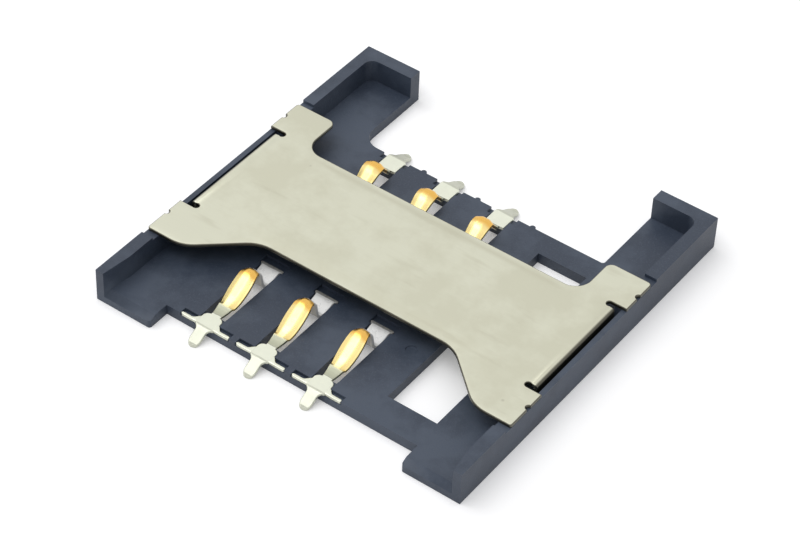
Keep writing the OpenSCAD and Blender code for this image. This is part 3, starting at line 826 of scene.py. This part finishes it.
def spoon_half(sizes, distance):
    """Half width of the spoon at a distance from its widest place."""
    radius = sizes.spoon_round
    return math.sqrt(radius * radius - distance * distance) - radius + sizes.spoon_width / 2


def half_width(sizes, y, shoulder, corner, lead, belly, tongue, tongue_half):
    """Half width along a contact: tail, pad with round shoulders, neck, lead, spoon and tongue."""
    pad = sizes.pad_width / 2
    neck = sizes.neck_width / 2
    tail = sizes.tail_width / 2
    if y < -shoulder:
        root = -sizes.seat - ROOT_START
        half = tail + (pad - tail) * smooth_step((y - root) / ROOT_FLARE)
        inset = max(0.0, y + shoulder + corner)
        return min(half, pad - corner + math.sqrt(corner ** 2 - inset ** 2))
    if y < lead:
        return neck + (spoon_half(sizes, belly - lead) - neck) * max(0.0, y) / lead
    spoon = spoon_half(sizes, min(y, tongue) - belly)
    return spoon + (tongue_half - spoon) * smooth_step((y - tongue) / TONGUE_FLARE)


def profile_value(stops, place):
    """Value at a place between stops (place, value), with soft steps."""
    if place <= stops[0][0]:
        return stops[0][1]
    for (start, first), (end, second) in zip(stops, stops[1:]):
        if place <= end:
            return first + (second - first) * smooth_step((place - start) / (end - start))
    return stops[-1][1]


def section(half, sheet, edge, arch, columns=16):
    """Ring (across, up) of a flat strip with round edges whose flanks are coined down."""
    edge = min(edge, half * 0.45, sheet * 0.45)
    inner = half - edge
    flat = 0.38
    curve = 1.1

    def sink(share_out):
        return arch * max(0.0, (share_out - flat) / (1 - flat)) ** curve

    def rounded(angles, level, inwards):
        turns = [math.radians(angle) for angle in angles]
        return [(inner + edge * math.cos(turn), edge * (math.sin(turn) + inwards) - arch - level)
                for turn in turns]

    steps = [-1 + 2 * i / columns for i in range(columns + 1)]
    top = [(across * inner, -sink(abs(across))) for across in steps]
    flank = rounded((60, 30, 0), 0.0, -1) + rounded((0, -30, -60), sheet, 1)
    bottom = [(-across * inner, -sink(abs(across)) - sheet) for across in steps]
    return top + flank + bottom + [(-across, up) for across, up in reversed(flank)]


def loft(work, rings):
    """Closed tube through rings of 3-D points."""
    loops = [[work.verts.new(point) for point in ring] for ring in rings]
    count = len(loops[0])
    for first, second in zip(loops, loops[1:]):
        for i in range(count):
            j = (i + 1) % count
            work.faces.new((first[i], first[j], second[j], second[i]))
    work.faces.new(loops[0])
    work.faces.new(loops[-1])


def round_end(distance, half, width):
    """Half width at a distance from an end that is rounded to a radius."""
    if distance >= half:
        return width
    blunt = half * 0.06
    return math.sqrt(max(half * half - (half - distance) ** 2, blunt ** 2))


def strip(work, sizes, points, arches, **shape):
    """Sheet strip along a line of its top face; shape holds the values of its half width."""
    start = points[0][0]
    foot = sizes.tail_width / 2
    rings = []
    for y, z, angle in points:
        half = round_end(y - start, foot, half_width(sizes, y, **shape))
        ring = section(half, sizes.sheet, sizes.edge, profile_value(arches, y))
        rings.append([(across, y - up * math.sin(angle), z + up * math.cos(angle))
                      for across, up in ring])
    loft(work, rings)


def arched(sizes, start, full, hold, end):
    """Stops of the coined arch: it starts, is full, holds and ends."""
    return [(start, 0.0), (full, sizes.arch), (hold, sizes.arch), (end, 0.0)]


def cross_piece(work, sizes, stations, sink):
    """Flat bar along X through stations (x, y, half width)."""
    rings = []
    for x, y, half in stations:
        ring = section(half, sizes.sheet - sink, sizes.edge * BAR_EDGE, 0.0, columns=4)
        rings.append([(x, y + across, up - sink) for across, up in ring])
    loft(work, rings)


def side_arms(work, sizes):
    """Two thin arms that hold the pad in its pockets."""
    front = -sizes.seat
    root = sizes.pad_width / 2 - ARM_OVERLAP
    tip = sizes.arm_span / 2
    half = sizes.arm_width / 2
    steps = 20
    for side in (-1, 1):
        stations = []
        for i in range(steps + 1):
            along = i / steps
            x = root + (tip - root) * along
            flare = ARM_FLARE * (1 - smooth_step((x - root) / ARM_FLARE_RUN))
            wide = round_end(tip - x, half, half + flare)
            stations.append((side * x, front + half + flare, wide))
        cross_piece(work, sizes, stations, ARM_SINK)


def cross_bar(work, sizes, reach):
    """Bar at the free end that rests on the floor beyond the window."""
    tip = sizes.bar_width / 2
    half = sizes.bar_length / 2
    steps = 24
    stations = []
    for i in range(steps + 1):
        x = -tip + 2 * tip * i / steps
        stations.append((x, reach + half, round_end(tip - abs(x), half, half)))
    cross_piece(work, sizes, stations, BAR_SINK)


def tail_line(sizes):
    """Line of the foot, the sloped tail and the pad, from the foot's tip to the window edge."""
    sloped = sizes.tail - sizes.tail_root - sizes.foot
    start = (-sizes.seat - sizes.tail, -sizes.drop)
    bend = sizes.tail_bend
    rising = climb(sloped, sizes.drop, bend - sizes.sheet, bend)
    return start, [sizes.foot, rising, sizes.tail_root + sizes.seat]


def front_contact(work, sizes):
    """Long sprung contact: pad, soft climb, coined spoon, crown, dip and cross bar."""
    start, tail = tail_line(sizes)
    sheet = sizes.sheet
    crown = sizes.front_crown
    half_flat = sizes.crown_flat / 2
    rising = climb(crown - half_flat, sizes.lift, sizes.front_soft - sheet, sizes.front_round)
    falling = fall(sizes.front_fall - half_flat, sizes.lift + sizes.front_dip, sizes.front_round,
                   sizes.bend - sheet)
    out_run = sizes.front_reach - crown - sizes.front_fall - DIP_FLAT
    leaving = climb(out_run, sizes.front_dip, sizes.bend - sheet, sizes.bend)
    line = chained(start, *tail, rising, sizes.crown_flat, falling, leaving,
                   DIP_FLAT + sizes.bar_length * BAR_OVERLAP)
    arches = arched(sizes, start=0.48 * MM, full=0.58 * MM, hold=crown + 0.1 * MM, end=crown + 0.5 * MM)
    strip(work, sizes, densified(line, RING_STEP), arches, shoulder=sizes.shoulder,
          corner=sizes.front_corner, lead=sizes.front_lead, belly=crown - sizes.front_belly,
          tongue=crown + FRONT_TONGUE, tongue_half=sizes.tongue_width / 2)
    side_arms(work, sizes)
    cross_bar(work, sizes, sizes.front_reach)


def rear_contact(work, sizes):
    """Short sprung contact: pad, steep climb, crown, long slope and cross bar."""
    start, tail = tail_line(sizes)
    sheet = sizes.sheet
    crown = sizes.rear_crown
    half_flat = sizes.crown_flat / 2
    rising = climb(crown - half_flat, sizes.lift, sizes.bend - sheet, sizes.bend)
    falling = fall(sizes.rear_fall - half_flat, sizes.lift, sizes.rear_soft, sizes.bend - sheet)
    rest = sizes.rear_reach - crown - sizes.rear_fall
    line = chained(start, *tail, rising, sizes.crown_flat, falling, rest + sizes.bar_length * BAR_OVERLAP)
    arches = arched(sizes, start=0.15 * MM, full=0.5 * MM, hold=crown + 0.6 * MM, end=crown + 1.1 * MM)
    strip(work, sizes, densified(line, RING_STEP), arches, shoulder=0.0, corner=sizes.rear_corner,
          lead=sizes.rear_lead, belly=crown + sizes.rear_belly, tongue=crown + REAR_TONGUE,
          tongue_half=sizes.neck_width / 2)
    cross_bar(work, sizes, sizes.rear_reach)


def row_tree():
    """Geometry Nodes tree that sets a contact out along X at a pitch."""
    name = "contact_row"
    if name in bpy.data.node_groups:
        return bpy.data.node_groups[name]
    tree, start, end = new_tree(
        name, "GeometryNodeTree",
        [("Contact", "NodeSocketGeometry"), ("Count", "NodeSocketInt"), ("Pitch", "NodeSocketFloat"),
         ("Finish", "NodeSocketMaterial")],
        [("Row", "NodeSocketGeometry")])
    given = start.outputs
    step = add_node(tree, "ShaderNodeCombineXYZ", {"X": given["Pitch"]})
    line = add_node(tree, "GeometryNodeMeshLine",
                    {"Count": given["Count"], "Offset": step.outputs["Vector"]},
                    mode="OFFSET", count_mode="TOTAL")
    places = add_node(tree, "GeometryNodeInstanceOnPoints", {
        "Points": line.outputs["Mesh"], "Instance": given["Contact"]})
    real = add_node(tree, "GeometryNodeRealizeInstances", {"Geometry": places.outputs["Instances"]})
    dressed = add_node(tree, "GeometryNodeSetMaterial", {
        "Geometry": real.outputs["Geometry"], "Material": given["Finish"]})
    feed(tree, end, {"Row": dressed.outputs["Geometry"]})
    return tree


def socket_id(tree, name):
    """Identifier of a named input of a tree."""
    for item in tree.interface.items_tree:
        if item.item_type == "SOCKET" and item.in_out == "INPUT" and item.name == name:
            return item.identifier
    raise KeyError(name)


def row_mesh(name, contact, sizes, material):
    """Plain mesh of a whole row, made from its first contact."""
    seed = linked(name + "_first", contact)
    tree = row_tree()
    row = seed.modifiers.new("row", "NODES")
    row.node_group = tree
    for title, value in (("Count", sizes.count), ("Pitch", sizes.pitch), ("Finish", material)):
        row[socket_id(tree, title)] = value
    mesh = evaluated_mesh(seed, row)
    mesh.name = name
    return mesh


def make_row(name, sizes, build, nodes, material):
    """Row of contacts from one builder; a row behind the middle is turned round."""
    low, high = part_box(nodes[0])
    work = bmesh.new()
    build(work, sizes)
    bmesh.ops.recalc_face_normals(work, faces=work.faces)
    behind = low.y + high.y > 0
    foot = -sizes.seat - sizes.tail
    for vert in work.verts:
        x, y, z = vert.co
        vert.co.x = (low.x + high.x) / 2 + (-x if behind else x)
        vert.co.y = high.y - (y - foot) if behind else low.y + (y - foot)
        vert.co.z = low.z + sizes.drop + sizes.sheet + z
    contact = finished_mesh(work, name + "_contact", math.radians(50))
    new_piece(name, row_mesh(name, contact, sizes, material), nodes, material)


class MakeContacts(bpy.types.Operator):
    """Makes the front and rear rows of sprung contacts"""

    bl_idname = "card_socket.make_contacts"
    bl_label = "Contacts"

    def execute(self, context):
        scene = context.scene
        sizes = scene.contact_sizes
        finish = scene.finishes
        front_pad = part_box(FRONT_CONTACTS[0])[0].y + sizes.tail + sizes.seat
        rear_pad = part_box(REAR_CONTACTS[0])[1].y - sizes.tail - sizes.seat
        crown = sizes.front_crown
        front = plated_metal("front_plating", finish, front_pad, 1.0, {
            "pad": -sizes.seat, "gold": 0.44 * MM, "crown_shade_start": crown - 0.3 * MM, "crown_shade_end": crown + 0.6 * MM,
            "tongue": crown + 0.24 * MM, "bar": sizes.front_reach})
        crown = sizes.rear_crown
        rear = plated_metal("rear_plating", finish, rear_pad, -1.0, {
            "pad": -sizes.seat, "gold": 0.3 * MM, "crown_shade_start": 0.1 * MM, "crown_shade_end": crown + 0.3 * MM,
            "tongue": crown + 1.3 * MM, "bar": sizes.rear_reach})
        make_row("front_contacts", sizes, front_contact, FRONT_CONTACTS, front)
        make_row("rear_contacts", sizes, rear_contact, REAR_CONTACTS, rear)
        return {"FINISHED"}


def seen_directly(tree):
    """1 for the camera's, mirrored and transmitted rays, 0 for light that falls on surfaces."""
    path = add_node(tree, "ShaderNodeLightPath").outputs
    seen = reckoned(tree, "MAXIMUM", path["Is Camera Ray"], path["Is Glossy Ray"])
    return reckoned(tree, "MAXIMUM", seen, path["Is Transmission Ray"])


def paper_floor(finish, lift):
    """Pale floor that keeps its shadow and reads white to the camera and in reflections."""
    material, tree, shader, place = blank_material("paper_floor")
    patches, _ = surfaced(tree, place, patch_scale=30.0, grain_scale=3000.0)
    feed(tree, shader, {
        "Base Color": mixed(tree, ranged(tree, patches, 0.0, 0.04), finish.paper, WHITE),
        "Roughness": 0.9, "Specular IOR Level": 0.0, "Emission Color": (*WHITE, 1.0),
        "Emission Strength": reckoned(tree, "MULTIPLY", seen_directly(tree), lift)})
    return material


def soft_lamp(name, place, width, depth, power):
    """Rectangular area lamp that looks at the part."""
    lamp = bpy.data.lights.new(name, "AREA")
    lamp.shape = "RECTANGLE"
    lamp.size = width
    lamp.size_y = depth
    lamp.energy = power
    body = linked(name, lamp)
    body.location = place
    body.rotation_euler = (-Vector(place)).to_track_quat("-Z", "Y").to_euler()


def soft_sky(scene, strength, low, lean):
    """World of soft light, strongest overhead and on the left, white to the camera and in reflections."""
    world = bpy.data.worlds.new("soft_sky")
    world.use_nodes = True
    scene.world = world
    tree = world.node_tree
    tree.nodes.clear()
    toward = add_node(tree, "ShaderNodeTexCoord")
    across = add_node(tree, "ShaderNodeSeparateXYZ", {"Vector": toward.outputs["Generated"]}).outputs
    rising = reckoned(tree, "MULTIPLY_ADD", across["Z"], ZENITH * (1.0 - low) * strength, low * strength)
    leaning = reckoned(tree, "MULTIPLY_ADD", across["X"], -strength * lean, rising)
    light = add_node(tree, "ShaderNodeBackground", {
        "Color": (*WHITE, 1.0), "Strength": reckoned(tree, "MAXIMUM", leaning, 0.0)})
    white = add_node(tree, "ShaderNodeBackground", {"Color": (*WHITE, 1.0)})
    mix = add_node(tree, "ShaderNodeMixShader", {
        "Fac": seen_directly(tree), 1: light.outputs["Background"], 2: white.outputs["Background"]})
    add_node(tree, "ShaderNodeOutputWorld", {"Surface": mix.outputs["Shader"]})


def photo_camera(scene, stage):
    """Camera at the photograph's place and lean."""
    lens = bpy.data.cameras.new("photo_camera")
    lens.sensor_width = SENSOR
    lens.lens = stage.lens
    lens.clip_start = 1.0 * MM
    lens.clip_end = 10.0
    camera = linked("photo_camera", lens)
    level = math.cos(stage.elevation)
    back = Vector((math.sin(stage.azimuth) * level, -math.cos(stage.azimuth) * level,
                   math.sin(stage.elevation)))
    turn = (-back).to_track_quat("-Z", "Y") @ Quaternion((0.0, 0.0, 1.0), stage.roll)
    camera.location = stage.camera_place
    camera.rotation_euler = turn.to_euler()
    scene.camera = camera


class MakeStage(bpy.types.Operator):
    """Makes the floor, the lamps, the sky and the camera"""

    bl_idname = "card_socket.make_stage"
    bl_label = "Stage"

    def execute(self, context):
        scene = context.scene
        stage = scene.stage_settings
        half = stage.floor_size / 2
        level = CAD_BOX[0][2] - FLOOR_GAP
        mesh = bpy.data.meshes.new("floor")
        mesh.from_pydata([(-half, -half, level), (half, -half, level), (half, half, level),
                          (-half, half, level)], [], [(0, 1, 2, 3)])
        mesh.materials.append(paper_floor(scene.finishes, stage.floor_lift))
        floor = linked("floor", mesh)
        soft_lamp("key_lamp", *KEY_LAMP, stage.key_power)
        soft_lamp("overhead_lamp", *OVERHEAD_LAMP, stage.fill_power)
        soft_sky(scene, stage.sky, stage.sky_low, stage.sky_lean)
        photo_camera(scene, stage)
        scene.view_settings.view_transform = "Standard"
        return {"FINISHED"}


class CardSocketPanel(bpy.types.Panel):
    """Sidebar panel that lists the pieces"""

    bl_idname = "VIEW3D_PT_card_socket"
    bl_label = "Card socket"
    bl_space_type = "VIEW_3D"
    bl_region_type = "UI"
    bl_category = "Card socket"

    def draw(self, context):
        for operator in (MakeTray, MakeBridge, MakeContacts, MakeStage):
            self.layout.operator(operator.bl_idname)
        for group in GROUPS:
            settings = getattr(context.scene, group)
            box = self.layout.box()
            for name in settings.__annotations__:
                box.prop(settings, name)


GROUPS = {"sheet_sizes": SheetSizes, "contact_sizes": ContactSizes, "finishes": Finishes,
          "stage_settings": StageSettings}
CLASSES = (*GROUPS.values(), MakeTray, MakeBridge, MakeContacts, MakeStage, CardSocketPanel)


def register():
    """Registers the classes and hangs the settings on the scene."""
    for item in CLASSES:
        bpy.utils.register_class(item)
    for name, group in GROUPS.items():
        setattr(bpy.types.Scene, name, PointerProperty(type=group))


def unregister():
    """Takes everything off again."""
    for name in GROUPS:
        delattr(bpy.types.Scene, name)
    for item in reversed(CLASSES):
        bpy.utils.unregister_class(item)


def main():
    """Makes every piece."""
    register()
    bpy.ops.card_socket.make_stage()
    bpy.ops.card_socket.make_tray()
    bpy.ops.card_socket.make_bridge()
    bpy.ops.card_socket.make_contacts()


if __name__ == "__main__":
    main()
